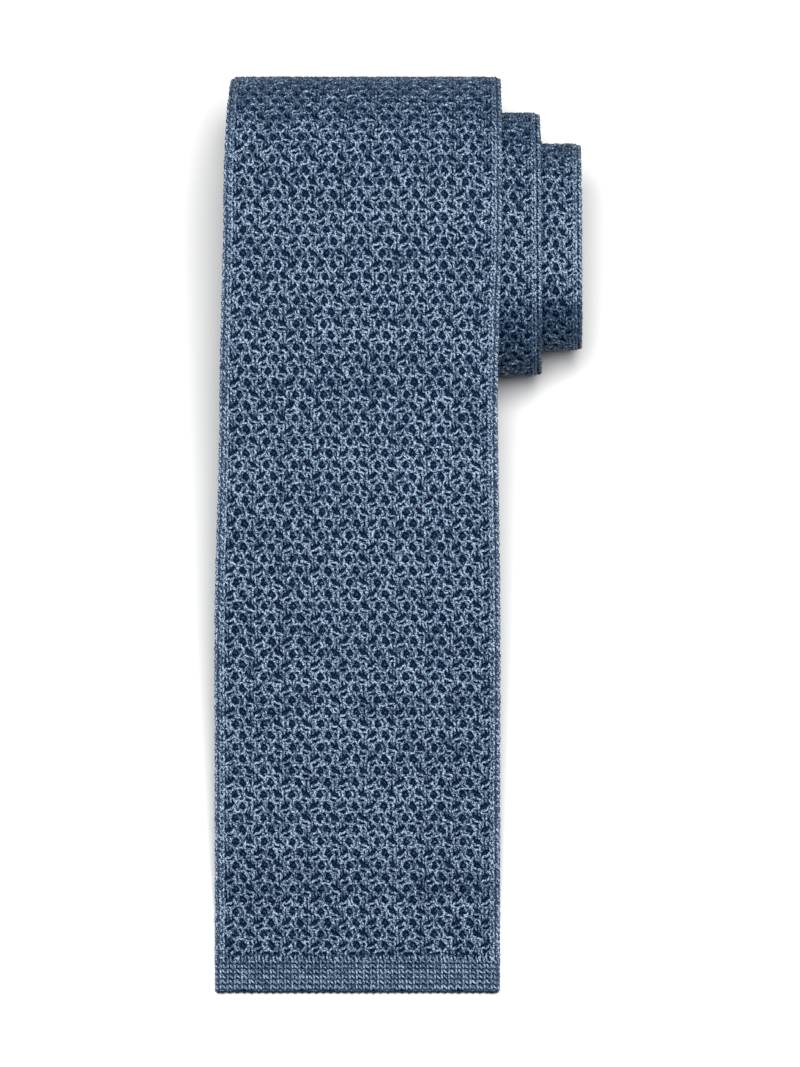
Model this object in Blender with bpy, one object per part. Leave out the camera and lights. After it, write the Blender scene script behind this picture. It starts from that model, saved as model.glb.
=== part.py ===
"""A square-ended knit tie, folded in half and rolled up from the neck.

The tie is one flattened knit tube.  Its wide half lies outside and its narrow half
inside, so that every turn of the roll holds two plies.  The last stretch of both
halves leads over the crest of the roll and down in front, where the wide end lies
flat on the surface.

Metres, +Z up.  X runs across the tie, Y along it towards the roll, and the origin
is at the middle of the bottom of the whole.
"""

import math
from collections import namedtuple

import bpy
from mathutils import Vector

# The knit tube, flattened
PLY = 0.00277                       # thickness of one ply, both walls of the tube
SLIT = 0.00025                      # open space between the two walls
BAND_PLY = 0.00245                  # thickness of the plain-knit end bands
BAND_LENGTH = 0.0081                # length of each end band
PLY_GAP = 0.0003                    # play between one ply and the next
PIECE_GAP = 0.0003                  # play between pieces that follow each other
EDGE_ANGLES = (90, 30, -30, -90)    # corners of a rounded side edge, in degrees

# The roll
SLOPE = math.radians(18.1)          # how steeply the front of the roll leads down
CREST_RADIUS = 0.0305               # outer radius of the outermost crest
ARC_STEPS = 15                      # flat steps in each half turn
TURN_PITCH = 2 * (PLY + PLY_GAP)    # what one turn adds, two plies and their play
NECK_RUN = 0.0135                   # straight run from the last foot to the fold
FOLD_STEPS = 6                      # flat steps round the fold at the neck

# How far each turn reaches up the slope past the middle of the crest, and down it
Turn = namedtuple("Turn", "crest_reach foot_reach")
TURNS = (
    Turn(0.0305, 0.0430),
    Turn(0.0217, 0.0368),
    Turn(0.0141, 0.0307),
    Turn(0.0071, 0.0246),
)

# The lead of the front blade, from the slope down to where it lies flat
STEEPENING = math.radians(13.0)     # how much steeper it gets past the narrow end
STEEP_RADIUS = 0.043                # bend from the slope into the steeper stretch
LANDING_RADIUS = 0.024              # bend from the steeper stretch into the flat
FLAT_RUN = 0.0126                   # length that lies flat on the surface
BEND_STEPS = 4                      # flat steps in each of these bends
NARROW_LEAD = 0.156                 # narrow end, down the slope from the crest

# A crest arc, back run, foot arc and front run end at these parts of a turn
CREST_END = 0.5
BACK_END = 0.6
FOOT_END = 0.9

# Where the tie lies across the roll and how wide it is.  Turn 0 is where the crest
# begins, -1 is the wide end, and the centre is told from the wide end's centre.
Lay = namedtuple("Lay", "turn centre wide narrow")
LAYS = (
    Lay(-1.00, 0.0000, 0.0698, 0.0500),
    Lay(-0.55, 0.0000, 0.0700, 0.0500),
    Lay(-0.25, 0.0003, 0.0682, 0.0498),
    Lay(0.00, 0.0013, 0.0683, 0.0495),
    Lay(0.27, 0.0021, 0.0662, 0.0490),
    Lay(0.72, 0.0125, 0.0655, 0.0480),
    Lay(1.27, 0.0124, 0.0648, 0.0475),
    Lay(1.72, 0.0246, 0.0610, 0.0460),
    Lay(2.27, 0.0246, 0.0605, 0.0455),
    Lay(2.72, 0.0275, 0.0540, 0.0440),
    Lay(3.27, 0.0278, 0.0530, 0.0435),
    Lay(3.72, 0.0308, 0.0450, 0.0425),
    Lay(4.00, 0.0318, 0.0420, 0.0420),
)

# Colours of the dyed silk, linear
MESH_KNIT_COLOR = (0.070, 0.114, 0.175, 1.0)
PLAIN_KNIT_COLOR = (0.084, 0.138, 0.208, 1.0)
SILK_ROUGHNESS = 0.55

# Directions in the YZ plane: up the slope, and out from its face
UP_SLOPE = Vector((math.cos(SLOPE), math.sin(SLOPE)))
OUT = Vector((-math.sin(SLOPE), math.cos(SLOPE)))
SLOPE_FACING = math.pi / 2 + SLOPE
FLOOR_FACING = -math.pi / 2
CREST_CENTRE = Vector((0.0, CREST_RADIUS))

Arc = namedtuple("Arc", "centre radius start end turn_start turn_end steps")
Station = namedtuple("Station", "point out turn")


def facing(angle):
    """Unit vector in the YZ plane at an angle from +Y."""
    return Vector((math.cos(angle), math.sin(angle)))


def along(out):
    """Direction of the path where its outer face looks along out."""
    return Vector((out.y, -out.x))


def smooth(value):
    """Ease from 0 to 1."""
    value = min(max(value, 0.0), 1.0)
    return value * value * (3.0 - 2.0 * value)


def lay_at(turn):
    """Centre, wide width and narrow width of the tie at a place in the roll."""
    if turn <= LAYS[0].turn:
        return LAYS[0]
    for low, high in zip(LAYS, LAYS[1:]):
        if turn <= high.turn:
            ease = smooth((turn - low.turn) / (high.turn - low.turn))
            centre = low.centre + (high.centre - low.centre) * ease
            wide = low.wide + (high.wide - low.wide) * ease
            narrow = low.narrow + (high.narrow - low.narrow) * ease
            return Lay(turn, centre, wide, narrow)
    return LAYS[-1]


def roll_arcs():
    """Crest and foot arcs of the roll's outer face, in the order they are wound.

    Each touches a front run, which lies along the slope, and a back run, which is
    level, and reaches as far along the slope as its row in TURNS says.
    """
    sine, cosine = math.sin(SLOPE), math.cos(SLOPE)
    arcs = []
    for index, turn in enumerate(TURNS):
        back_height = index * TURN_PITCH
        front = CREST_RADIUS - index * TURN_PITCH
        next_front = front - TURN_PITCH
        rise = front * cosine + turn.crest_reach * sine + CREST_RADIUS - back_height
        radius = rise / (1 + cosine + sine)
        centre = CREST_CENTRE + (turn.crest_reach - radius) * UP_SLOPE + (front - radius) * OUT
        arcs.append(Arc(centre, radius, SLOPE_FACING, FLOOR_FACING,
                        index, index + CREST_END, ARC_STEPS))
        rise = next_front * cosine - turn.foot_reach * sine + CREST_RADIUS - back_height
        radius = rise / (1 + cosine - sine)
        centre = CREST_CENTRE + (radius - turn.foot_reach) * UP_SLOPE + (next_front - radius) * OUT
        arcs.append(Arc(centre, radius, FLOOR_FACING, SLOPE_FACING - 2 * math.pi,
                        index + BACK_END, index + FOOT_END, ARC_STEPS))
    return arcs


def arc_stations(arc):
    """Stations along one arc, both of its ends included."""
    stations = []
    for step in range(arc.steps + 1):
        share = step / arc.steps
        out = facing(arc.start + (arc.end - arc.start) * share)
        turn = arc.turn_start + (arc.turn_end - arc.turn_start) * share
        stations.append(Station(arc.centre + arc.radius * out, out, turn))
    return stations


def lead_points():
    """Outer face of the front blade from its end on the surface up to the crest."""
    steep = SLOPE + STEEPENING
    crest_start = CREST_CENTRE + CREST_RADIUS * OUT
    bends_drop = STEEP_RADIUS * (math.cos(SLOPE) - math.cos(steep))
    bends_drop += LANDING_RADIUS * (1 - math.cos(steep))
    slope_run = (crest_start.y - PLY - bends_drop) / math.sin(SLOPE)
    slope_end = crest_start - slope_run * UP_SLOPE
    steep_centre = slope_end - STEEP_RADIUS * OUT
    up = math.pi / 2
    points = []
    for step in range(BEND_STEPS + 1):
        out = facing(up + SLOPE + STEEPENING * step / BEND_STEPS)
        points.append((steep_centre + STEEP_RADIUS * out, out))
    landing_centre = points[-1][0] + LANDING_RADIUS * points[-1][1]
    for step in range(1, BEND_STEPS + 1):
        out = facing(up + steep * (1 - step / BEND_STEPS))
        points.append((landing_centre - LANDING_RADIUS * out, out))
    band_start = points[-1][0] - Vector((FLAT_RUN - BAND_LENGTH, 0.0))
    points.append((band_start, facing(up)))
    points.append((band_start - Vector((BAND_LENGTH, 0.0)), facing(up)))
    points.reverse()
    for lay in LAYS:
        if -1 < lay.turn < 0:
            points.append((crest_start + lay.turn * slope_run * UP_SLOPE, OUT))
    return points, crest_start


def lead_stations():
    """Stations of the front blade's lead, numbered by their run from the crest."""
    points, crest_start = lead_points()
    total = (crest_start - points[0][0]).length
    stations = []
    for point, out in points:
        stations.append(Station(point, out, -(crest_start - point).length / total))
    return sorted(stations, key=lambda station: station.turn)


def roll_stations():
    """Outer face of the whole roll, from the crest to the last foot."""
    stations = []
    for arc in roll_arcs():
        stations.extend(arc_stations(arc))
    return stations


def ply_path(stations, depth):
    """Middle of a ply that lies at a depth under the outer face."""
    return [Station(place.point - depth * place.out, place.out, place.turn)
            for place in stations]


def span(stations, start, end):
    """The stations from one place in the roll to another."""
    slack = 1e-6
    return [place for place in stations if start - slack <= place.turn <= end + slack]


def trimmed(stations):
    """The same stations with half the play taken off at both ends."""
    first, last = stations[0], stations[-1]
    ahead = (stations[1].point - first.point).normalized()
    behind = (stations[-2].point - last.point).normalized()
    start = Station(first.point + ahead * PIECE_GAP / 2, first.out, first.turn)
    end = Station(last.point + behind * PIECE_GAP / 2, last.out, last.turn)
    return [start] + stations[1:-1] + [end]


def edge_loop(width, half, reach):
    """Closed loop round the tube, as pairs of across and outward distances."""
    middle = width / 2 - half
    right = [(middle + reach * math.cos(math.radians(angle)),
              reach * math.sin(math.radians(angle))) for angle in EDGE_ANGLES]
    left = [(-across, outward) for across, outward in reversed(right)]
    return right + left


def loft_tube(name, stations, widths, thickness, color):
    """One open-ended stretch of the flattened knit tube along its stations."""
    half = thickness / 2
    corners = 2 * len(EDGE_ANGLES)
    vertices = []
    for place, (centre, width) in zip(stations, widths):
        for reach in (half, SLIT / 2):
            for across, outward in edge_loop(width, half, reach):
                point = place.point + outward * place.out
                vertices.append((centre + across, point.x, point.y))
    faces = []
    ring = 2 * corners
    for index in range(len(stations) - 1):
        base = index * ring
        for corner in range(corners):
            after = (corner + 1) % corners
            faces.append((base + corner, base + after,
                          base + ring + after, base + ring + corner))
            inner = base + corners
            faces.append((inner + after, inner + corner,
                          inner + ring + corner, inner + ring + after))
    last = (len(stations) - 1) * ring
    for corner in range(corners):
        after = (corner + 1) % corners
        faces.append((corner, corners + corner, corners + after, after))
        faces.append((last + after, last + corners + after,
                      last + corners + corner, last + corner))
    mesh = bpy.data.meshes.new(name)
    mesh.from_pydata(vertices, [], faces)
    mesh.shade_smooth()
    mesh.set_sharp_from_angle(angle=math.radians(50))
    mesh.materials.append(silk(name, color))
    piece = bpy.data.objects.new(name, mesh)
    bpy.context.collection.objects.link(piece)
    return piece


def silk(name, color):
    """Dyed silk yarn, as a material of the piece's own."""
    material = bpy.data.materials.new(name + "_silk")
    material.use_nodes = True
    shader = material.node_tree.nodes["Principled BSDF"]
    shader.inputs["Base Color"].default_value = color
    shader.inputs["Roughness"].default_value = SILK_ROUGHNESS
    shader.inputs["Metallic"].default_value = 0.0
    return material


def wide_widths(stations):
    """Centre and width of the wide half at each station."""
    lays = [lay_at(place.turn) for place in stations]
    return [(lay.centre, lay.wide) for lay in lays]


def narrow_widths(stations):
    """Centre and width of the narrow half at each station."""
    lays = [lay_at(place.turn) for place in stations]
    return [(lay.centre, lay.narrow) for lay in lays]


def add_wide_half(lead, roll):
    """The wide end band, the wide blade and the wide half's turns."""
    path = ply_path(lead + roll, PLY / 2)
    band_end = path[1].turn
    band = span(path, path[0].turn, band_end)
    band = [Station(place.point - (PLY - BAND_PLY) / 2 * place.out, place.out, place.turn)
            for place in band]
    pieces = [loft_tube("wide_end_band", trimmed(band), wide_widths(band),
                        BAND_PLY, PLAIN_KNIT_COLOR)]
    blade = span(path, band_end, BACK_END)
    pieces.append(loft_tube("wide_blade", trimmed(blade), wide_widths(blade),
                            PLY, MESH_KNIT_COLOR))
    for index in range(1, len(TURNS)):
        turn = span(path, index - 1 + BACK_END, index + BACK_END)
        pieces.append(loft_tube(f"wide_turn_{index + 1}", trimmed(turn), wide_widths(turn),
                                PLY, MESH_KNIT_COLOR))
    return pieces


def add_neck_fold(roll):
    """The neck at the heart of the roll, where the wide half folds into the narrow."""
    start = len(TURNS) - 1 + BACK_END
    last = roll[-1]
    fold = Station(last.point + NECK_RUN * along(last.out), last.out, LAYS[-1].turn)
    outer = span(roll, start, last.turn) + [fold]
    centre = fold.point - (PLY + PLY_GAP / 2) * fold.out
    radius = (PLY + PLY_GAP) / 2
    path = ply_path(outer, PLY / 2)
    widths = wide_widths(outer)
    for step in range(1, FOLD_STEPS):
        out = facing(SLOPE_FACING - math.pi * step / FOLD_STEPS)
        path.append(Station(centre + radius * out, out, fold.turn))
        widths.append((LAYS[-1].centre, LAYS[-1].wide))
    returning = ply_path(outer, PLY * 1.5 + PLY_GAP)
    returning.reverse()
    path.extend(Station(place.point, -place.out, place.turn) for place in returning)
    widths.extend(reversed(narrow_widths(outer)))
    return loft_tube("neck_fold", trimmed(path), widths, PLY, MESH_KNIT_COLOR)


def add_narrow_half(lead, roll):
    """The narrow half's turns, the narrow blade and its end band, under the wide half."""
    crest_start = lead_points()[1]
    run = (crest_start - lead[0].point).length
    end_turn = -NARROW_LEAD / run
    band_turn = -(NARROW_LEAD - BAND_LENGTH) / run
    shared = [place for place in lead if band_turn < place.turn and place.out == OUT]
    ends = [Station(crest_start + turn * run * UP_SLOPE, OUT, turn)
            for turn in (end_turn, band_turn)]
    path = ply_path(ends + shared + roll, PLY * 1.5 + PLY_GAP)
    pieces = []
    for index in range(len(TURNS) - 1, 0, -1):
        turn = span(path, index - 1 + BACK_END, index + BACK_END)
        pieces.append(loft_tube(f"narrow_turn_{index + 1}", trimmed(turn), narrow_widths(turn),
                                PLY, MESH_KNIT_COLOR))
    blade = span(path, band_turn, BACK_END)
    pieces.append(loft_tube("narrow_blade", trimmed(blade), narrow_widths(blade),
                            PLY, MESH_KNIT_COLOR))
    band = span(path, end_turn, band_turn)
    pieces.append(loft_tube("narrow_end_band", trimmed(band), narrow_widths(band),
                            BAND_PLY, PLAIN_KNIT_COLOR))
    return pieces


def set_on_origin(pieces):
    """Place every piece so that the origin is at the middle of the bottom of the whole."""
    corners = [vertex.co for piece in pieces for vertex in piece.data.vertices]
    middle = Vector((0.0, 0.0, 0.0))
    for axis in (0, 1):
        low = min(corner[axis] for corner in corners)
        high = max(corner[axis] for corner in corners)
        middle[axis] = (low + high) / 2
    for piece in pieces:
        piece.location = -middle


def main():
    """Clear the scene and build the rolled tie."""
    for leftover in list(bpy.data.objects):
        bpy.data.objects.remove(leftover, do_unlink=True)
    lead = lead_stations()
    roll = roll_stations()
    pieces = add_wide_half(lead, roll)
    pieces.append(add_neck_fold(roll))
    pieces.extend(add_narrow_half(lead, roll))
    set_on_origin(pieces)


main()
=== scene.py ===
"""Looks of a square-ended knit tie, folded in half and rolled up from the neck.

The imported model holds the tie's smooth solids.  This file knits them: the cloth of
every piece, and over it the yarn itself, course by course, wherever it shows well.
The sidebar's Knit Tie tab lists the steps, and run as a script they are all made.

Metres, +Z up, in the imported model's frame.  A place on the tie is told by its run
along the tie from the wide end, by its wale round the knit tube, where 0 is the middle
of the outer face, and by its reach out from the middle of the ply.
"""

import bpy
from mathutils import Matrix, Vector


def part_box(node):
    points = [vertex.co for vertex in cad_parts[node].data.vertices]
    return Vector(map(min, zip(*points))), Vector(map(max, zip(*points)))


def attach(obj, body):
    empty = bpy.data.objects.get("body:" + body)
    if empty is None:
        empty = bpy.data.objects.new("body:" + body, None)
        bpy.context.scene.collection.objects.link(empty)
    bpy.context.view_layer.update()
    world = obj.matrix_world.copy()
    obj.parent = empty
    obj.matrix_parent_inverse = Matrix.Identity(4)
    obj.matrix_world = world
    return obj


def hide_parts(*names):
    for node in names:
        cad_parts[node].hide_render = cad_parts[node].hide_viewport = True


bl_info = {
    "name": "Rolled Knit Tie",
    "version": (1, 0, 0),
    "blender": (4, 5, 0),
    "location": "View3D > Sidebar > Knit Tie",
    "description": "Knits the silk of a rolled tie, stitch by stitch, over its packed model",
    "category": "Add Mesh",
}

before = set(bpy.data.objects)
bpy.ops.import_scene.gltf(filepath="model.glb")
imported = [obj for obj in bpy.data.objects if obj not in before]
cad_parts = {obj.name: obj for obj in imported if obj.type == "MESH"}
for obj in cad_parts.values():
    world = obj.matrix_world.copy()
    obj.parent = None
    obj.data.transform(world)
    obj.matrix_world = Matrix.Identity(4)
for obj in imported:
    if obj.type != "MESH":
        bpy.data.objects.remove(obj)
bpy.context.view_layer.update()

import math
from collections import namedtuple

import bpy
import numpy as np
from bpy.props import FloatProperty, FloatVectorProperty, PointerProperty
from mathutils import Vector

# The flattened knit tube and its play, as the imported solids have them
PLY = 0.00277
BAND_PLY = 0.00245
BAND_LENGTH = 0.0081
PLY_GAP = 0.0003
PIECE_GAP = 0.0003

# The roll and the lead of its front blade
SLOPE = math.radians(18.1)
CREST_RADIUS = 0.0305
TURN_PITCH = 2 * (PLY + PLY_GAP)
NECK_RUN = 0.0135
STEEPENING = math.radians(13.0)
STEEP_RADIUS = 0.043
LANDING_RADIUS = 0.024
FLAT_RUN = 0.0126
NARROW_LEAD = 0.156
CREST_END = 0.5
BACK_END = 0.6
FOOT_END = 0.9

# How far each turn reaches up the slope past the middle of the crest, and down it
Turn = namedtuple("Turn", "crest_reach foot_reach")
TURNS = (
    Turn(0.0305, 0.0430),
    Turn(0.0217, 0.0368),
    Turn(0.0141, 0.0307),
    Turn(0.0071, 0.0246),
)

# Where the tie lies across the roll and how wide it is.  Turn 0 is where the crest
# begins, -1 is the wide end, and the centre is told from the wide end's centre.
Lay = namedtuple("Lay", "turn centre wide narrow")
LAYS = (
    Lay(-1.00, 0.0000, 0.0698, 0.0500),
    Lay(-0.55, 0.0000, 0.0700, 0.0500),
    Lay(-0.25, 0.0003, 0.0682, 0.0498),
    Lay(0.00, 0.0013, 0.0683, 0.0495),
    Lay(0.27, 0.0021, 0.0662, 0.0490),
    Lay(0.72, 0.0125, 0.0655, 0.0480),
    Lay(1.27, 0.0124, 0.0648, 0.0475),
    Lay(1.72, 0.0246, 0.0610, 0.0460),
    Lay(2.27, 0.0246, 0.0605, 0.0455),
    Lay(2.72, 0.0275, 0.0540, 0.0440),
    Lay(3.27, 0.0278, 0.0530, 0.0435),
    Lay(3.72, 0.0308, 0.0450, 0.0425),
    Lay(4.00, 0.0318, 0.0420, 0.0420),
)

# Directions in the YZ plane: up the slope, and out from its face
UP_SLOPE = np.array((math.cos(SLOPE), math.sin(SLOPE)))
OUT = np.array((-math.sin(SLOPE), math.cos(SLOPE)))
SLOPE_FACING = math.pi / 2 + SLOPE
FLOOR_FACING = -math.pi / 2
CREST_CENTRE = np.array((0.0, CREST_RADIUS))
TRACE_STEP = 0.0004                 # length of a step of the tie's path
LEAST_STEPS = 2                     # fewest steps of a straight run or a piece of cloth
ARC_STEPS = 8                       # fewest steps of an arc
FOLD_POINTS = 14                    # points of the path round the neck fold, with both ends
SAME_POINT = 1e-7                   # points of the path this close are one
NO_LENGTH = 1e-12                   # a vector is divided by no less than this
BAND_EASE = 0.0012                  # length over which a band grows as thick as the mesh

# The knit
WALES = 80                          # wales round the tube on the wide half
NARROW_WALES = 56                   # wales round the tube on the narrow half
NECK_WALES = 52                     # wales round the tube at the neck
FOLD_WALE = WALES // 4              # wale at each fold of the wide half
BAND_COURSES = 6
SEED = 5

# Where the yarn is laid, in runs and wales
BAND_START = 0.0002
MESH_START = BAND_LENGTH - 0.0006
YARN_END_TURN = 0.47                # place in the roll where the blade's yarn ends
BLADE_WALES = (-21, 21)
SIDE_WALES = (12, 21)               # right side of turns 2 and 3
LEFT_WALES = (-22, -18)             # left fold of turns 2 and 3
INNER_WALES = ((19, 21), (-21, -19))  # both folds of turn 4

# The yarn
YARN_MIDDLE = 0.00070               # reach of the yarn's middle from the middle of the ply
LEAST_REACH = 0.00002               # reach of the yarn's middle where it lies deepest
CREST_FLATNESS = 0.4                # how much flatter the stitches lie over the crest
PLUMPNESS = 0.10                    # how much stouter yarn is for each radius further out
PLUMP_RANGE = (-1.0, 2.0)           # yarn radii out between which that counts
NEIGHBOURS_SPREAD = 2.4             # spread of twice a place's own move and both neighbours'
YARN_SIDES = 4
MOST_YARN_FACES = 92_000            # faces of one piece of yarn, two triangles each
TWIST_SHIFT = 0.01                  # most by which the twists of two courses differ in place
STRIP_END = 0.01                    # bare ends of a course's strip in the baked picture
STRIP_PLACE = (0.04, 0.92)          # where the strip begins in its row, and its share of it

# The cloth under the yarn, and where no yarn is laid
BACKING_REACH = 0.00010             # reach of the cloth that shows through the holes
CREST_BACKING = 0.00030             # how much further that cloth reaches over the crest
CLOTH_REACH = 0.00112               # reach of the cloth where no yarn is laid over it
CLOTH_MARGIN = 0.00012              # how far the cloth stays inside the face of its solid
BOUND_REACH = 0.0006                # reach of the cloth at its two bound-off ends
BOUND_TAPER = 0.5                   # how much further it reaches for each length from there
CLOTH_STEP = 0.0016                 # length of a step of the cloth's mesh
CLOTH_WALES = 2.0                   # wales that a face of the cloth's mesh takes
FOLD_RINGS = np.array((-2.0, -1.5, -1.0, -0.5, 0.0, 0.5, 1.0, 1.5, 2.0))  # in half bends
CLEAR_OF_FOLD = 2.4                 # half bends from a fold where the other wales begin
BAKE_START, BAKE_SHARE = 0.02, 0.95  # the cloth's place in its baked picture
CAP_KNIT, CAP_BAKE = 0.5, 0.005     # the one place that both end faces take in each layer

# Where the cloth lies deep behind yarn, in runs and wales, and how softly it comes up
COVER_FADE = 0.8
COVER_START, COVER_START_FADE = 0.0003, 0.0006
COVER_END_FADE = 0.002
NEAR_FOLD, PAST_FOLD = 18.4, 20.9   # wales shortly before and past a fold
FOLD_COVER = 0.4                    # how deep it lies between those two on the blade
LEFT_COVER = (-22.0, -18.6)         # round the left fold of turns 2 and 3
INNER_COVER = 1.2                   # wales from each fold of turn 4
PLAIN_EDGE = 1.5                    # wales from each fold where no holes are drawn

# The stitches that the cloth's material draws, with painted light on their legs and painted shade in
# the gaps and holes
LEG_SLANT = 0.7                     # courses that a leg climbs across its half of a wale
LEG_BREADTH = 1.4                   # how broad the ridge of a leg is
LEG_RANGE = (0.0, 0.6)              # from the gap beside a leg to its full strength
LEG_LIGHT, GAP_LIGHT = 0.65, 0.22   # how much painted light a leg adds to the painted shade of the gaps
CLOTH_GRAIN = 0.90                  # how much brighter the cloth is in its brightest spots
CLOTH_GRAIN_LEAST = 0.45            # shade of its darkest spots
BEHIND_YARN_PAINTED_SHADE = 0.95                  # how much darker painted shade makes the cloth behind yarn
LEG_RELIEF = 0.5                    # share of the bump by which legs stand over the gaps
SWAY_FINENESS = 0.9                 # how quickly the rows of holes sway from stitch to stitch
SWAY_ACROSS, SWAY_ALONG = 0.7, 0.5  # wales and courses that they sway
HOLE_ACROSS, HOLE_ALONG = 2.2, 3.4  # how narrow and how short the holes are
HOLE_RANGE = (0.40, 0.85)           # from inside a hole to the knit round it

# The silk's painted light and shade, from 0 deep in the knit to 1 on the brightest strands, with its
# grain and tones
GRAIN = 2600.0                      # how fine the silk's grain is, in spots a metre
GRAIN_RANGE = (0.40, 0.60)          # noise in the darkest spots and in the brightest
GRAIN_LEAST = 0.36                  # shade of the darkest spots of grain
EVEN_GRAIN = 0.75                   # how much less grain even yarn shows
EVEN_LIGHT = 0.42                   # how much brighter its darkest spots are
DEPTH_RANGE = (-1.8, 2.3)           # yarn radii out where the painted shade is deepest and where the yarn is brightest
DEEP_PAINTED_SHADE = 0.10                   # brightness that the painted shade leaves on the deepest yarn
GROOVE_PAINTED_SHADE = 0.55                 # how much darker painted shade makes the grooves of the twist
TONE_SPREAD = 0.10                  # how much the stitches' shades differ
COURSE_TONE = 0.5                   # how much a whole course's shade differs beside that
CREST_PAINTED_SHADE = 0.25                  # how much darker painted shade makes the yarn over the crest
FOOT_PAINTED_SHADE = 0.38                   # how much darker painted shade makes the yarn at the foot of a turn
STRAND_HEIGHT = 0.00012             # height of the strands' bump
STITCH_HEIGHT = 0.00045             # height of the bump of the cloth's stitches
CLOTH_GLOSS = 0.6                   # roughness of the cloth

# Where a crest bends the knit and darkens it with painted shade, and where painted shade darkens a
# foot, in degrees that the tie has turned away from the slope's face
Bend = namedtuple("Bend", "begins full leaves ends")
CREST_BEND = Bend(0.0, 75.0, 80.0, 130.0)
FOOT_BEND = Bend(180.0, 220.0, 328.0, 360.0)

# The path of each stitch from its left foot: across in wales, up in courses, out in
# yarn radii.  The next stitch's foot closes it.
Place = namedtuple("Place", "across up out")
FOOT = Place(-0.50, -0.05, -1.2)
PLAIN = (FOOT, Place(-0.15, 0.26, 0.6), Place(-0.19, 0.62, 1.2), Place(-0.33, 1.02, 0.2),
         Place(0.0, 1.36, -1.2), Place(0.33, 1.02, 0.2), Place(0.19, 0.62, 1.2),
         Place(0.15, 0.26, 0.6))
EDGE = (FOOT, Place(-0.15, 0.26, 1.0), Place(-0.19, 0.62, 1.6), Place(-0.33, 1.02, 0.6),
        Place(0.0, 1.36, -1.0), Place(0.33, 1.02, 0.6), Place(0.19, 0.62, 1.6),
        Place(0.15, 0.26, 1.0))
BOUND = (FOOT, Place(-0.22, 0.06, 0.9), Place(-0.22, 0.34, 2.0), Place(-0.26, 0.66, 0.7),
         Place(-0.26, 0.92, -1.3), Place(0.05, 1.10, -1.9), Place(0.50, 0.92, -1.3),
         Place(0.40, 0.66, 0.7), Place(0.20, 0.34, 2.0), Place(0.06, 0.06, 0.9))
BIG = (FOOT, Place(-0.10, 0.25, 0.6), Place(-0.04, 0.70, 1.6), Place(-0.38, 1.20, 0.8),
       Place(-0.70, 1.62, 0.8), Place(-0.62, 2.15, 0.7), Place(-0.36, 2.62, 0.2),
       Place(0.0, 2.95, -0.9), Place(0.34, 2.72, 0.4), Place(0.66, 2.20, 1.0),
       Place(0.82, 1.65, 1.1), Place(0.42, 1.10, 1.0), Place(0.08, 0.70, 0.9),
       Place(0.12, 0.25, 0.2))
WEDGE = (FOOT, Place(-0.24, 0.25, 0.7), Place(-0.38, 0.70, 1.1), Place(-0.46, 1.02, 1.7),
         Place(-0.20, 1.30, 1.4), Place(0.22, 1.34, 0.9), Place(0.66, 1.72, 0.9),
         Place(1.02, 2.30, -1.3), Place(1.00, 1.90, -1.2), Place(0.76, 1.25, -0.8),
         Place(0.62, 0.68, 0.9), Place(0.22, 0.48, 1.1))
TUCK = (FOOT, Place(-0.34, 0.30, -1.9), Place(-0.18, 0.80, -1.5), Place(0.0, 0.98, -0.3),
        Place(0.18, 0.80, -1.5), Place(0.34, 0.30, -1.9))
DEEP = (FOOT, Place(-0.34, 0.30, -1.9), Place(-0.18, 0.80, -1.8), Place(0.0, 0.98, -1.6),
        Place(0.18, 0.80, -1.8), Place(0.34, 0.30, -1.9))
RING = (FOOT, Place(-0.22, 0.30, 0.0), Place(-0.16, 0.72, 1.1), Place(-0.34, 1.10, 1.1),
        Place(-0.25, 1.50, 0.9), Place(0.0, 1.64, 0.4), Place(0.23, 1.50, 0.9),
        Place(0.36, 1.12, 1.1), Place(0.28, 0.78, 1.0), Place(0.18, 0.30, 0.0))
STRONG = (FOOT, Place(-0.06, -0.24, 0.9), Place(-0.12, 0.20, 2.1), Place(-0.22, 0.62, 2.2),
          Place(-0.30, 0.98, 1.2), Place(-0.20, 1.30, -0.6), Place(0.05, 1.40, -1.4),
          Place(0.30, 1.05, 0.2), Place(0.22, 0.60, -0.6), Place(0.18, 0.24, -0.8))
BESIDE = (FOOT, Place(-0.20, 0.40, -1.2), Place(-0.24, 0.75, 0.5), Place(-0.30, 1.10, 1.0),
          Place(0.0, 1.45, -0.6), Place(0.30, 1.10, 0.9), Place(0.24, 0.75, 0.5),
          Place(0.22, 0.42, 0.6))
ARCH = (FOOT, Place(-0.20, 0.45, -1.6), Place(-0.30, 0.78, -0.2), Place(-0.12, 0.96, 1.0),
        Place(0.26, 0.90, 1.3), Place(0.60, 1.02, 1.3), Place(0.82, 1.28, 0.8),
        Place(0.50, 1.46, -0.8), Place(0.25, 0.60, -1.7))
STITCHES = {"P": PLAIN, "B": BIG, "W": WEDGE, "T": TUCK, "R": RING, "S": STRONG,
            "K": BESIDE, "L": ARCH, "D": DEEP, "E": EDGE, "V": BOUND}

# One repeat of the mesh, rows from below and wales across.  A small letter is the same
# stitch mirrored.
MESH_CHART = ("sdrt",
              "BKWL",
              "TRDS",
              "lwkb")
BAND_CHART = ("V",)
EDGE_WALES = 2                      # wales from each fold, its own with them, that are plain
LEAN = 0.10                         # how far a stitch leans to the left, in wales a course

# How a piece is knit: its stitches, plain wales by the folds, the way in which its
# courses follow each other, how uneven they are and how stout their yarn is
Gauge = namedtuple("Gauge", "chart edges heading uneven stout")
MESH_GAUGE = Gauge(MESH_CHART, EDGE_WALES, 1, 1.0, 1.0)
BAND_GAUGE = Gauge(BAND_CHART, 0, -1, 0.35, 0.88)

# How the wales drift to and fro along the tie, in wales, radians a metre and radians
Drift = namedtuple("Drift", "size pace start")
DRIFTS = (Drift(0.10, 210.0, 1.3), Drift(0.07, 91.0, 0.0))

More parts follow.
